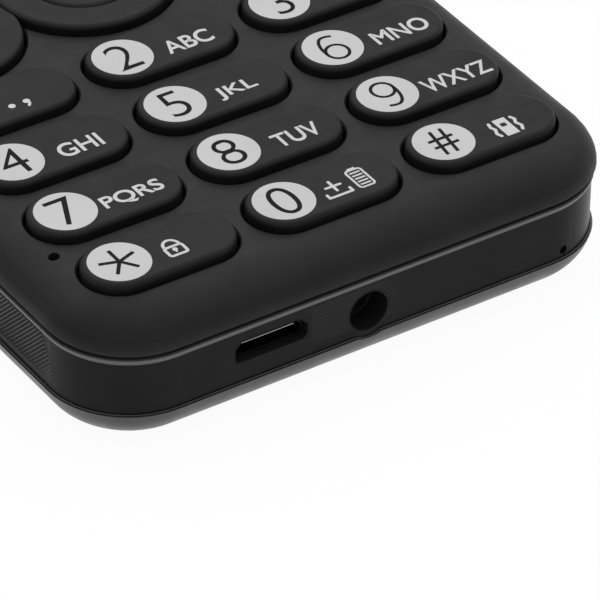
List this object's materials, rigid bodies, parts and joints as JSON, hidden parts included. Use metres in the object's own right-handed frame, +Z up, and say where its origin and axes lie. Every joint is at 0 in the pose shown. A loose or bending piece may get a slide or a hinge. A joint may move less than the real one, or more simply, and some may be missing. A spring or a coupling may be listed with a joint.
{
  "type": "bar keypad phone",
  "caption": "Keypad phone with sprung keys, a rocking navigation disc, display window, lift-off back cover and battery, micro-USB port and headphone jack.",
  "frame": {"origin": "centre of the outline on the surface that the back cover lies on", "axes": "+X across to the right seen from the keys, +Y along to the earpiece end, +Z up out of the keys"},
  "size_m": [0.0588, 0.136, 0.0156],
  "materials": {
    "front_shell": "fine matte",
    "frame_shell": "satin gloss",
    "back_shell": "satin",
    "key_cap": "fine matte",
    "window": "polished",
    "lens": "polished",
    "screen": "polished",
    "steel": "drawn",
    "silicone": "matte",
    "dome_film": "satin",
    "board": "lacquered",
    "black_plastic": "moulded",
    "cell": "wrapped"
  },
  "bodies": {
    "housing": {"front_cover": "front_shell", "mid_frame": "frame_shell", "display_window": "window", "earpiece_grille": "steel", "housing_screws": "steel", "key_mat": "silicone", "dome_sheet": "dome_film", "main_board": "board", "lcd_module": "screen", "earpiece_speaker": "black_plastic", "microphone": "steel", "mic_boot": "silicone", "micro_usb_socket": "steel", "audio_jack_socket": "black_plastic", "camera_module": "black_plastic", "camera_lens": "lens", "flash_lens": "lens", "loudspeaker": "black_plastic", "vibration_motor": "steel", "antenna": "black_plastic", "shield_can_upper": "steel", "shield_can_lower": "steel", "battery_contacts": "black_plastic", "sim_holder_1": "steel", "sim_holder_2": "steel", "memory_card_holder": "steel"},
    "back_cover": {"back_cover": "back_shell"},
    "battery": {"battery": "cell"},
    "nav_pad": {"nav_pad": "black_plastic"},
    "nav_ring": {"nav_ring": "key_cap"},
    "ok_key": {"ok_key": "key_cap"},
    "key_1": {"key_1": "key_cap"},
    "key_2": {"key_2": "key_cap"},
    "key_3": {"key_3": "key_cap"},
    "key_4": {"key_4": "key_cap"},
    "key_5": {"key_5": "key_cap"},
    "key_6": {"key_6": "key_cap"},
    "key_7": {"key_7": "key_cap"},
    "key_8": {"key_8": "key_cap"},
    "key_9": {"key_9": "key_cap"},
    "key_star": {"key_star": "key_cap"},
    "key_0": {"key_0": "key_cap"},
    "key_hash": {"key_hash": "key_cap"},
    "call_key": {"call_key": "key_cap"},
    "end_key": {"end_key": "key_cap"},
    "left_soft_key": {"left_soft_key": "key_cap"},
    "right_soft_key": {"right_soft_key": "key_cap"}
  },
  "joints": [
    {"name": "key_1_press", "type": "slide", "parent": "housing", "child": "key_1", "axis": [0, 0, -1], "range_m": [0, 0.0004], "stiffness_N_per_m": 3000},
    {"name": "key_2_press", "type": "slide", "parent": "housing", "child": "key_2", "axis": [0, 0, -1], "range_m": [0, 0.0004], "stiffness_N_per_m": 3000},
    {"name": "key_3_press", "type": "slide", "parent": "housing", "child": "key_3", "axis": [0, 0, -1], "range_m": [0, 0.0004], "stiffness_N_per_m": 3000},
    {"name": "key_4_press", "type": "slide", "parent": "housing", "child": "key_4", "axis": [0, 0, -1], "range_m": [0, 0.0004], "stiffness_N_per_m": 3000},
    {"name": "key_5_press", "type": "slide", "parent": "housing", "child": "key_5", "axis": [0, 0, -1], "range_m": [0, 0.0004], "stiffness_N_per_m": 3000},
    {"name": "key_6_press", "type": "slide", "parent": "housing", "child": "key_6", "axis": [0, 0, -1], "range_m": [0, 0.0004], "stiffness_N_per_m": 3000},
    {"name": "key_7_press", "type": "slide", "parent": "housing", "child": "key_7", "axis": [0, 0, -1], "range_m": [0, 0.0004], "stiffness_N_per_m": 3000},
    {"name": "key_8_press", "type": "slide", "parent": "housing", "child": "key_8", "axis": [0, 0, -1], "range_m": [0, 0.0004], "stiffness_N_per_m": 3000},
    {"name": "key_9_press", "type": "slide", "parent": "housing", "child": "key_9", "axis": [0, 0, -1], "range_m": [0, 0.0004], "stiffness_N_per_m": 3000},
    {"name": "key_star_press", "type": "slide", "parent": "housing", "child": "key_star", "axis": [0, 0, -1], "range_m": [0, 0.0004], "stiffness_N_per_m": 3000},
    {"name": "key_0_press", "type": "slide", "parent": "housing", "child": "key_0", "axis": [0, 0, -1], "range_m": [0, 0.0004], "stiffness_N_per_m": 3000},
    {"name": "key_hash_press", "type": "slide", "parent": "housing", "child": "key_hash", "axis": [0, 0, -1], "range_m": [0, 0.0004], "stiffness_N_per_m": 3000},
    {"name": "call_key_press", "type": "slide", "parent": "housing", "child": "call_key", "axis": [0, 0, -1], "range_m": [0, 0.0004], "stiffness_N_per_m": 3000},
    {"name": "end_key_press", "type": "slide", "parent": "housing", "child": "end_key", "axis": [0, 0, -1], "range_m": [0, 0.0004], "stiffness_N_per_m": 3000},
    {"name": "left_soft_key_press", "type": "slide", "parent": "housing", "child": "left_soft_key", "axis": [0, 0, -1], "range_m": [0, 0.0004], "stiffness_N_per_m": 3000},
    {"name": "right_soft_key_press", "type": "slide", "parent": "housing", "child": "right_soft_key", "axis": [0, 0, -1], "range_m": [0, 0.0004], "stiffness_N_per_m": 3000},
    {"name": "ok_key_press", "type": "slide", "parent": "housing", "child": "ok_key", "axis": [0, 0, -1], "range_m": [0, 0.0004], "stiffness_N_per_m": 3000},
    {"name": "nav_rock_left_right", "type": "hinge", "parent": "housing", "child": "nav_pad", "pos_m": [0, -0.0175, 0.0122], "axis": [0, 1, 0], "range_deg": [-1.2, 1.2], "stiffness_Nm_per_rad": 0.45},
    {"name": "nav_rock_up_down", "type": "hinge", "parent": "nav_pad", "child": "nav_ring", "pos_m": [0, -0.0175, 0.0122], "axis": [1, 0, 0], "range_deg": [-1.2, 1.2], "stiffness_Nm_per_rad": 0.45},
    {"name": "battery_lift_out", "type": "slide", "parent": "housing", "child": "battery", "axis": [0, 0, -1], "range_m": [0, 0.012]},
    {"name": "back_cover_lift_off", "type": "slide", "parent": "housing", "child": "back_cover", "axis": [0, 0, -1], "range_m": [0, 0.02]}
  ],
  "couplings": [
    {"joint": "back_cover_lift_off", "follows": "battery_lift_out", "ratio": 1.6}
  ]
}
